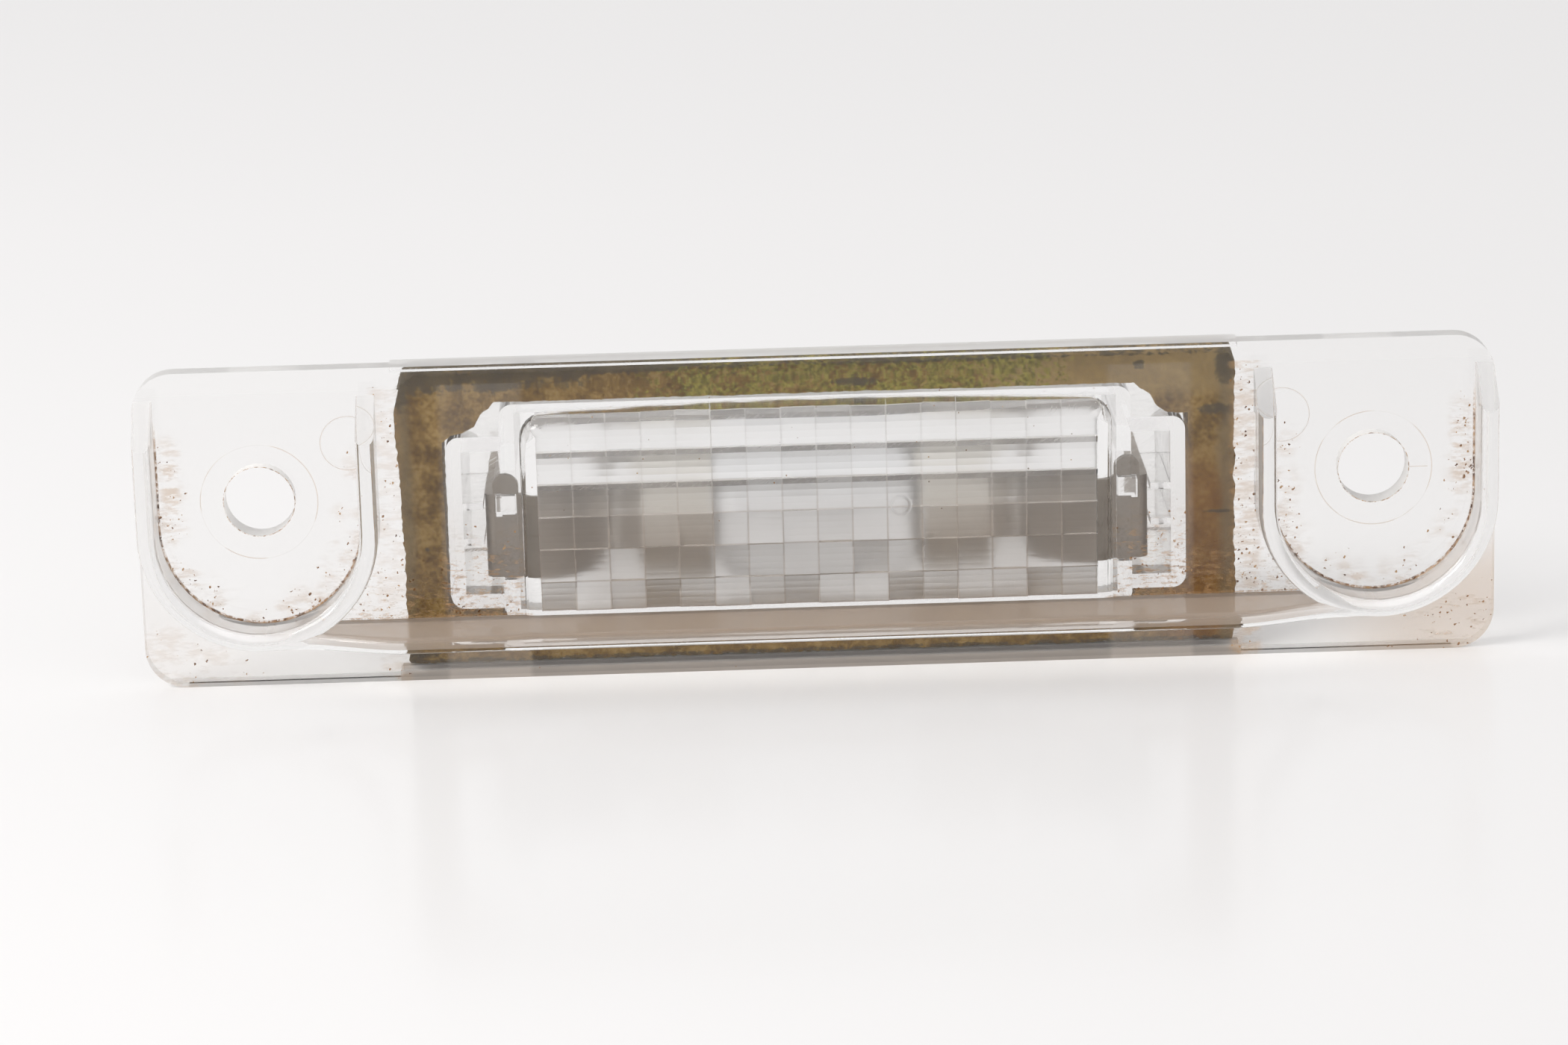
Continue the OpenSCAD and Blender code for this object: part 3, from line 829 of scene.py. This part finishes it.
@dataclass(frozen=True)
class Foam:
    """Old foam: brown inside, greyer outside, with black edges, dark stains and green mould.

    Sizes are in millimetres.

    Args:
        top: height of the gasket's upper edge.
        foot: height of its lower edge.
        half: half of its length.
        stains: single dark stains.
    """

    top: float
    foot: float
    half: float
    stains: tuple[Stain, ...] = (Stain(29.6, 4.5, 1.5, 0.45), Stain(30.2, 7.6, 0.8, 1.3), Stain(23.9, 7.9, 0.5, 0.3),
                                 Stain(29.8, -3.3, 1.2, 0.14), Stain(-28.9, -4.4, 0.16, 0.16),
                                 Stain(-30.6, 7.2, 0.8, 1.2), Stain(3.0, 7.4, 1.8, 0.35), Stain(-29.6, -12.2, 1.6, 0.7))

    def material(self, groups: Groups) -> bpy.types.Material:
        """Build the material.

        Args:
            groups: the shared node groups.

        Returns:
            The material.
        """
        material, wires, shader, place = new_material("stained_foam")
        times, ease, band, peak = wires.times, wires.ease, wires.band, wires.peak
        x, _, z = wires.parts(place)
        wide = wires.math("ABSOLUTE", x)
        cloud = wires.noise(place, 0.45, 4.0, 0.6)
        fine = wires.noise(place, 2.4, 4.0, 0.7)
        field = wires.math("ADD", times(cloud, 0.55), times(fine, 0.45))
        base = wires.ramp(field, (0.40, (0.11, 0.056, 0.009)), (0.5, (0.215, 0.122, 0.026)),
                          (0.60, (0.35, 0.225, 0.07)))
        warm = times(ease(x, 24.0, 27.0), ease(z, 3.0, -2.0))
        base = wires.blend(times(warm, 0.55), base, (0.235, 0.092, 0.012))
        tan = times(ease(x, 10.0, 16.0), ease(z, 5.0, 6.5))
        base = wires.blend(times(tan, 0.6), base, (0.36, 0.255, 0.11))
        outside = ease(wires.math("ADD", wide, times(cloud, 1.4)), self.half - 1.1, self.half - 0.1)
        base = wires.blend(times(outside, 0.7), base, (0.185, 0.14, 0.078))
        upper = ease(z, self.top - 3.2, self.top - 2.2)
        lower = ease(z, self.foot + 3.4, self.foot + 2.4)
        zone = peak(times(upper, band(x, -16.0, 22.0, 14.0)), times(lower, 0.55))
        mould = wires.group(groups.grime, Place=place, Scale=0.42, Density=times(zone, 0.66), Edge=0.11)
        green = wires.ramp(fine, (0.40, (0.115, 0.098, 0.012)), (0.60, (0.33, 0.30, 0.045)))
        colour = wires.blend(times(mould, 0.8), base, green)
        left_top = times(upper, ease(x, -6.0, -24.0), ease(z, self.top - 2.6, self.top - 0.6))
        edge = peak(ease(z, self.foot + 0.6, self.foot + 0.2), ease(z, self.top - 0.7, self.top - 0.2),
                    ease(wide, self.half - 0.6, self.half - 0.25))
        soaked = wires.total(times(left_top, 0.55), times(edge, 0.42), times(upper, 0.12), times(lower, 0.16), 0.14)
        dark = wires.group(groups.grime, Place=place, Scale=0.3, Density=soaked, Edge=0.14)
        warped = times(wires.math("SUBTRACT", fine, 0.5), 3.0)
        for stain in self.stains:
            across = wires.math("DIVIDE", wires.math("SUBTRACT", x, stain.x), stain.wide)
            up = wires.math("DIVIDE", wires.math("SUBTRACT", z, stain.z), stain.high)
            far = wires.total(times(across, across), times(up, up), warped)
            dark = peak(dark, ease(far, 1.3, 0.3))
        colour = wires.blend(times(dark, 0.80), colour, (0.070, 0.056, 0.034))
        relief = wires.math("ADD", wires.noise(place, 6.0, 2.0), times(fine, 1.2))
        wires.fill(shader, Base_Color=colour, Roughness=0.9, Specular_IOR_Level=0.2,
                   Normal=wires.bump(relief, 0.09 * MM, 0.7))
        return material


@dataclass(frozen=True)
class SheetMetal:
    """Dull tinned sheet or plated metal with fine drawing lines and tarnish.

    Args:
        name: the material's name.
        bright: colour of the clean metal.
        dull: colour of the tarnish.
        tarnish: how much of it there is, from 0 to 1.
        rough: roughness of the clean metal.
        lines: direction factors of the drawing lines.
    """

    name: str
    bright: tuple[float, float, float]
    dull: tuple[float, float, float]
    tarnish: float
    rough: float
    lines: tuple[float, float, float]

    def material(self, groups: Groups) -> bpy.types.Material:
        """Build the material.

        Args:
            groups: the shared node groups.

        Returns:
            The material.
        """
        material, wires, shader, place = new_material(self.name)
        stain = wires.group(groups.grime, Place=place, Scale=0.5, Density=self.tarnish, Edge=0.3)
        drawn = wires.noise(wires.scaled(place, self.lines), 1.0, 3.0, 0.6)
        wires.fill(shader, Base_Color=wires.blend(stain, self.bright, self.dull), Metallic=1.0,
                   Roughness=wires.total(wires.times(stain, 0.3), wires.times(drawn, 0.15), self.rough),
                   Normal=wires.bump(drawn, 0.02 * MM, 0.5))
        return material


@dataclass(frozen=True)
class BulbGlass:
    """Clear bulb glass with a thin grey deposit inside.

    Args:
        ior: index of refraction.
    """

    ior: float = 1.5

    def material(self, groups: Groups) -> bpy.types.Material:
        """Build the material.

        Args:
            groups: the shared node groups.

        Returns:
            The material.
        """
        material, wires, shader, place = new_material("clear_bulb_glass")
        dust = wires.group(groups.grime, Place=place, Scale=0.6, Density=0.3, Edge=0.3)
        wires.fill(shader, Base_Color=(0.96, 0.965, 0.97, 1.0), Transmission_Weight=1.0, IOR=self.ior,
                   Roughness=wires.total(wires.times(dust, 0.15), 0.02))
        clear = let_lamps_through(wires, shader.outputs[0], (0.93, 0.93, 0.93))
        wires.feed(surface_socket(wires), clear)
        return material


@dataclass(frozen=True)
class BareWire:
    """Dark tungsten wire.

    Args:
        colour: its metal colour.
    """

    colour: tuple[float, float, float] = (0.33, 0.31, 0.29)

    def material(self, groups: Groups) -> bpy.types.Material:
        """Build the material.

        Args:
            groups: the shared node groups.

        Returns:
            The material.
        """
        material, wires, shader, place = new_material("filament_metal")
        tone = wires.group(groups.grime, Place=place, Scale=1.5, Density=0.5, Edge=0.3)
        wires.fill(shader, Base_Color=wires.blend(tone, self.colour, (0.16, 0.15, 0.15)), Metallic=1.0,
                   Roughness=wires.total(wires.times(tone, 0.2), 0.35))
        return material


# ---- Pieces


def merged_copy(node: str, name: str) -> tuple[bpy.types.Object, bmesh.types.BMesh]:
    """Copy a node's loose triangles into one joined mesh with flat faces whole.

    Args:
        node: the node's name.
        name: the new piece's name.

    Returns:
        The new object and its open bmesh.
    """
    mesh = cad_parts[node].data.copy()
    mesh.name = name
    mesh.materials.clear()
    piece = bpy.data.objects.new(name, mesh)
    bpy.context.scene.collection.objects.link(piece)
    shape = bmesh.new()
    shape.from_mesh(mesh)
    bmesh.ops.remove_doubles(shape, verts=shape.verts, dist=0.0005 * MM)
    bmesh.ops.dissolve_limit(shape, angle_limit=math.radians(0.4), use_dissolve_boundaries=False,
                             verts=shape.verts, edges=shape.edges, delimit={"NORMAL"})
    return piece, shape


def close_piece(piece: bpy.types.Object, shape: bmesh.types.BMesh, smooth: float) -> None:
    """Write a bmesh back and shade it smooth between edges below an angle.

    Args:
        piece: the object.
        shape: its bmesh, freed here.
        smooth: the angle in degrees.
    """
    for face in shape.faces:
        face.smooth = True
    for edge in shape.edges:
        turn = edge.calc_face_angle(math.pi) if edge.is_manifold else math.pi
        if turn > math.radians(smooth):
            edge.smooth = False
    if piece.data.has_custom_normals:
        piece.data.attributes.remove(piece.data.attributes["custom_normal"])
    shape.to_mesh(piece.data)
    shape.free()
    piece.data.update()


def dress(piece: bpy.types.Object, material: bpy.types.Material, slot: Slot, node: str) -> None:
    """Give a piece its material, hang it under the root body and hide the node that it replaces.

    Args:
        piece: the object.
        material: its material.
        slot: not used.
        node: the node that it replaces.
    """
    piece.data.materials.clear()
    piece.data.materials.append(material)
    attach(piece, "root")
    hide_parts(node)
    LOG.info("%s: %d faces", piece.name, len(piece.data.polygons))


@dataclass
class Lens:
    """The clear moulding.

    Sizes are in millimetres.

    Args:
        cells_half: half of the length that the prism cells take.
        cells_foot: lowest height of the cells.
        cells_top: highest height of the cells.
        relief_front: depth of the pane's thinnest face, in front of which nothing is a cell.
        crease_z: height of the crease along the flange's top.
        corner_r: radius of the flange's corners.
        edge_r: radius of its rounded front edges.
    """

    cells_half: float = 20.7
    cells_foot: float = -9.17
    cells_top: float = 5.8
    relief_front: float = -4.2
    crease_z: float = 8.15
    corner_r: float = 3.0
    edge_r: float = 0.3

    def build(self, groups: Groups) -> None:
        """Make the piece.

        Args:
            groups: the shared node groups.
        """
        piece, shape = merged_copy("lens", "lens_moulding")
        self._round_edges(shape)
        for edge in shape.edges:
            if all(self._in_cells(vert.co) for vert in edge.verts):
                edge.smooth = False
        close_piece(piece, shape, 28.0)
        weigh = piece.modifiers.new("flat_faces_stay_flat", "WEIGHTED_NORMAL")
        weigh.keep_sharp = True
        dress(piece, ClearPlastic().material(groups), Slot.PLASTIC, "lens")

    def _round_edges(self, shape: bmesh.types.BMesh) -> None:
        """Round the flange's front edges and the crease along its top.

        Args:
            shape: the moulding's bmesh.
        """
        chosen = []
        for edge in shape.edges:
            if not edge.is_manifold or edge.calc_face_angle() < math.radians(8.0):
                continue
            ends = [vert.co / MM for vert in edge.verts]
            if not all(-2.05 < end.y < -1.6 for end in ends):
                continue
            outline = all(self._on_outline(end) for end in ends)
            crease = all(abs(end.z - self.crease_z) < 0.02 and end.y < -1.95 for end in ends)
            if crease or outline and any(abs(face.normal.y) > 0.9 for face in edge.link_faces):
                chosen.append(edge)
        bmesh.ops.bevel(shape, geom=chosen, offset=self.edge_r * MM, offset_type="OFFSET", affect="EDGES",
                        segments=3, profile=0.5, material=-1, clamp_overlap=True)

    def _on_outline(self, point: Vector) -> bool:
        """True if a point lies on the flange's outline, its round corners included."""
        half, top, foot = 50.0, 9.75, -14.05
        side = half - abs(point.x)
        level = min(top - point.z, point.z - foot)
        if side < 0.01 or level < 0.01:
            return True
        across, up = self.corner_r - side, self.corner_r - level
        return across > 0 and up > 0 and abs(math.hypot(across, up) - self.corner_r) < 0.03

    def _in_cells(self, point: Vector) -> bool:
        """True if a point lies on the prism cells, behind the leaning pane."""
        x, y, z = point / MM
        return (abs(x) < self.cells_half and self.relief_front < y < -0.1
                and self.cells_foot - 0.1 < z < self.cells_top + 0.1
                and y > PANE_FRONT - PANE_LEAN * (z - BAR_TOP) + 0.9)


@dataclass
class Gasket:
    """The foam gasket with its worn and torn outline.

    Sizes are in millimetres.

    Args:
        step: distance between points along its outline.
        fray: how far a worn edge strays.
        front: gap between the flange and the foam.
    """

    step: float = 0.16
    fray: float = 0.16
    front: float = 0.03

    def build(self, groups: Groups) -> None:
        """Make the piece.

        Args:
            groups: the shared node groups.
        """
        low, high = (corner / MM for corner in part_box("foam_gasket"))
        mesh = bpy.data.meshes.new("foam_frame")
        piece = bpy.data.objects.new("foam_frame", mesh)
        bpy.context.scene.collection.objects.link(piece)
        shape = bmesh.new()
        edges = (self._loop(shape, self._outline(low, high), 1.0, low.z)
                 + self._loop(shape, self._opening(), 0.45, low.z))
        bmesh.ops.triangle_fill(shape, use_beauty=True, use_dissolve=False, edges=edges)
        cover = bmesh.ops.extrude_face_region(shape, geom=shape.faces[:])
        rear = [item for item in cover["geom"] if isinstance(item, bmesh.types.BMVert)]
        bmesh.ops.translate(shape, verts=rear, vec=(0.0, (high.y - self.front - 0.02) * MM, 0.0))
        bmesh.ops.recalc_face_normals(shape, faces=shape.faces)
        close_piece(piece, shape, 40.0)
        dress(piece, Foam(high.z, low.z, high.x).material(groups), Slot.FOAM, "foam_gasket")

    def _outline(self, low: Vector, high: Vector) -> list[tuple[float, float]]:
        """Corners of the outer outline, with cut and crumbled corners.

        Args:
            low: the gasket's lowest corner.
            high: its highest corner.

        Returns:
            The corners in order, in the XZ plane.
        """
        inset = self.fray + 0.06
        left, foot, right, top = low.x + inset, low.z + 0.06, high.x - inset, high.z - inset
        return [(left + 0.45, foot), (right - 0.2, foot), (right, foot + 0.8), (right, top - 0.7),
                (right - 0.7, top), (left + 1.6, top), (left + 0.5, top - 0.7), (left, top - 2.2),
                (left + 0.2, top - 9.0), (left + 0.35, foot + 5.0), (left + 0.3, foot + 0.25)]

    def _opening(self) -> list[tuple[float, float]]:
        """Corners of the stepped opening round the chamber, its two upper inner corners torn off."""
        half, box_half = 23.5, 27.5
        top, foot, box_top, box_foot = 6.65, -10.4, 4.25, -9.25
        return [(-half, foot), (-half, box_foot), (-box_half, box_foot), (-box_half, box_top - 0.6),
                (-box_half + 0.7, box_top), (-26.0, box_top + 0.1), (-25.1, box_top + 0.6), (-24.6, box_top + 1.5),
                (-23.9, box_top + 2.0), (-half, top), (half, top), (23.9, box_top + 2.0), (24.7, box_top + 1.5),
                (25.1, box_top + 0.7), (25.9, box_top + 0.1), (box_half, box_top), (box_half, box_foot),
                (half, box_foot), (half, foot)]

    def _loop(self, shape: bmesh.types.BMesh, corners: list[tuple[float, float]], wear: float,
              low: float) -> list[bmesh.types.BMEdge]:
        """Draw one worn outline.

        Args:
            shape: the bmesh that it goes into.
            corners: its corners in order, in the XZ plane.
            wear: share of the fray that it shows.
            low: height that no point goes below.

        Returns:
            Its edges.
        """
        verts = []
        for start, end in zip(corners, corners[1:] + corners[:1]):
            length = math.dist(start, end)
            count = max(1, round(length / self.step))
            for k in range(count):
                share = k / count
                x = start[0] + (end[0] - start[0]) * share
                z = start[1] + (end[1] - start[1]) * share
                stray = Vector((0.0, 0.0, 0.0))
                for pitch, weight in ((0.7, 0.9), (2.9, 0.7)):
                    stray.x += weight * noise.noise((x * pitch, 3.0, z * pitch))
                    stray.z += weight * noise.noise((x * pitch, 9.0, z * pitch))
                point = Vector((x, self.front, z)) + stray * self.fray * wear
                point.z = max(point.z, low + 0.01)
                verts.append(shape.verts.new(point * MM))
        return [shape.edges.new((a, b)) for a, b in zip(verts, verts[1:] + verts[:1])]


@dataclass
class Contacts:
    """The two bent sheet metal contacts."""

    def build(self, groups: Groups) -> None:
        """Make both pieces.

        Args:
            groups: the shared node groups.
        """
        finish = SheetMetal("tinned_sheet", (0.31, 0.272, 0.232), (0.13, 0.105, 0.08), 0.55, 0.42,
                            (3.0, 3.0, 0.6)).material(groups)
        for side in Side:
            node = f"contact_{side.name.lower()}"
            piece, shape = merged_copy(node, f"spring_{node}")
            close_piece(piece, shape, 30.0)
            dress(piece, finish, Slot.CONTACT, node)


@dataclass
class Bulb:
    """The festoon bulb: glass, two caps and the filament."""

    def build(self, groups: Groups) -> None:
        """Make the pieces.

        Args:
            groups: the shared node groups.
        """
        cap = SheetMetal("plated_cap", (0.80, 0.77, 0.71), (0.42, 0.38, 0.31), 0.35, 0.28,
                         (0.4, 4.0, 4.0)).material(groups)
        for node, material, slot in (("bulb_glass", BulbGlass().material(groups), Slot.BULB),
                                     ("bulb_cap_left", cap, Slot.CAP), ("bulb_cap_right", cap, Slot.CAP),
                                     ("filament", BareWire().material(groups), Slot.WIRE)):
            piece, shape = merged_copy(node, f"{node}_piece")
            close_piece(piece, shape, 35.0)
            dress(piece, material, slot, node)


# ---- Studio


@dataclass
class Studio:
    """The table, the lamps, the surroundings and the camera.

    Distances are in millimetres and angles in degrees.

    Args:
        floor_z: height of the table.
        aim: the point in the middle of the view.
        azimuth: how far the camera stands to the right.
        elevation: how far it stands above the lamp.
        distance: its distance from the aim.
        roll: its turn about its own axis.
        focus: focal length in pixels of the photograph.
    """

    floor_z: float = -14.05
    aim: tuple[float, float, float] = (-2.49, -1.0, -3.08)
    azimuth: float = -0.8
    elevation: float = 15.1
    distance: float = 380.0
    roll: float = 1.57
    focus: float = 6888.0

    def camera(self) -> None:
        """Place the camera at the photograph's viewing angle."""
        data = bpy.data.cameras.new("view")
        data.sensor_fit = "HORIZONTAL"
        data.sensor_width = 36.0
        data.lens = self.focus / 2100.0 * 36.0
        data.clip_start = 0.01
        data.clip_end = 50.0
        camera = bpy.data.objects.new("view", data)
        turn = (Matrix.Rotation(math.radians(self.azimuth), 4, "Z")
                @ Matrix.Rotation(math.radians(90.0 - self.elevation), 4, "X")
                @ Matrix.Rotation(math.radians(-self.roll), 4, "Z"))
        away = turn.to_3x3() @ Vector((0.0, 0.0, 1.0))
        camera.matrix_world = Matrix.Translation((Vector(self.aim) + away * self.distance) * MM) @ turn
        bpy.context.scene.collection.objects.link(camera)
        bpy.context.scene.camera = camera

    def floor(self) -> None:
        """Lay the pale glossy table."""
        mesh = bpy.data.meshes.new("table")
        shape = bmesh.new()
        bmesh.ops.create_grid(shape, x_segments=1, y_segments=1, size=4.0)
        bmesh.ops.translate(shape, verts=shape.verts, vec=(0.0, 0.0, self.floor_z * MM))
        shape.to_mesh(mesh)
        shape.free()
        table = bpy.data.objects.new("table", mesh)
        bpy.context.scene.collection.objects.link(table)
        material, wires, shader, _ = new_material("white_table")
        wires.fill(shader, Base_Color=(0.97, 0.965, 0.965, 1.0), Roughness=0.16, Specular_IOR_Level=0.08)
        mesh.materials.append(material)
        table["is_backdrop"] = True

    def lamps(self) -> None:
        """Hang the soft lamps."""
        for name, place, size, power, colour in (
                ("key", (-0.46, -0.26, 0.42), 0.32, 2.3, (1.0, 0.985, 0.97)),
                ("fill", (0.5, -0.7, 0.6), 0.7, 0.35, (0.97, 0.98, 1.0)),
                ("back", (0.0, 0.7, 0.8), 0.9, 0.5, (1.0, 1.0, 1.0))):
            data = bpy.data.lights.new(name, "AREA")
            data.shape = "SQUARE"
            data.size = size
            data.energy = power
            data.color = colour
            lamp = bpy.data.objects.new(name, data)
            lamp.location = place
            lamp.rotation_euler = (-Vector(place)).to_track_quat("-Z", "Y").to_euler()
            bpy.context.scene.collection.objects.link(lamp)

    def surroundings(self) -> None:
        """Make the pale surroundings that camera, glass and metal see."""
        world = bpy.data.worlds.new("pale_room")
        world.use_nodes = True
        world.node_tree.nodes.clear()
        wires = Wires(world.node_tree)
        path = wires.add("ShaderNodeLightPath")
        seen = wires.peak(*(path.outputs[f"Is {kind} Ray"] for kind in ("Camera", "Glossy", "Transmission")))
        back = wires.add("ShaderNodeBackground")
        wires.fill(back, Color=(0.93, 0.92, 0.92, 1.0), Strength=wires.ease(seen, 0.0, 1.0, 0.66, 1.0))
        wires.fill(wires.add("ShaderNodeOutputWorld"), Surface=back.outputs[0])
        bpy.context.scene.world = world

    def build(self) -> None:
        """Set up the whole studio."""
        bpy.context.scene.view_settings.view_transform = "Standard"
        self.camera()
        self.floor()
        self.lamps()
        self.surroundings()


def corners(bounds: object) -> list[list[float]]:
    """Turn a pair of corners into plain lists of numbers."""
    return [[float(v) for v in corner] for corner in bounds]


def main() -> None:
    """Build the lamp's pieces in order and report each."""
    logging.basicConfig(level=logging.INFO, format="%(name)s: %(message)s")
    solids = corners(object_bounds())
    groups = Groups()
    Studio().build()
    Lens().build(groups)
    Gasket().build(groups)
    Contacts().build(groups)
    Bulb().build(groups)
    {"solids": solids, "visual": corners(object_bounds())}


if __name__ == "__main__":
    main()
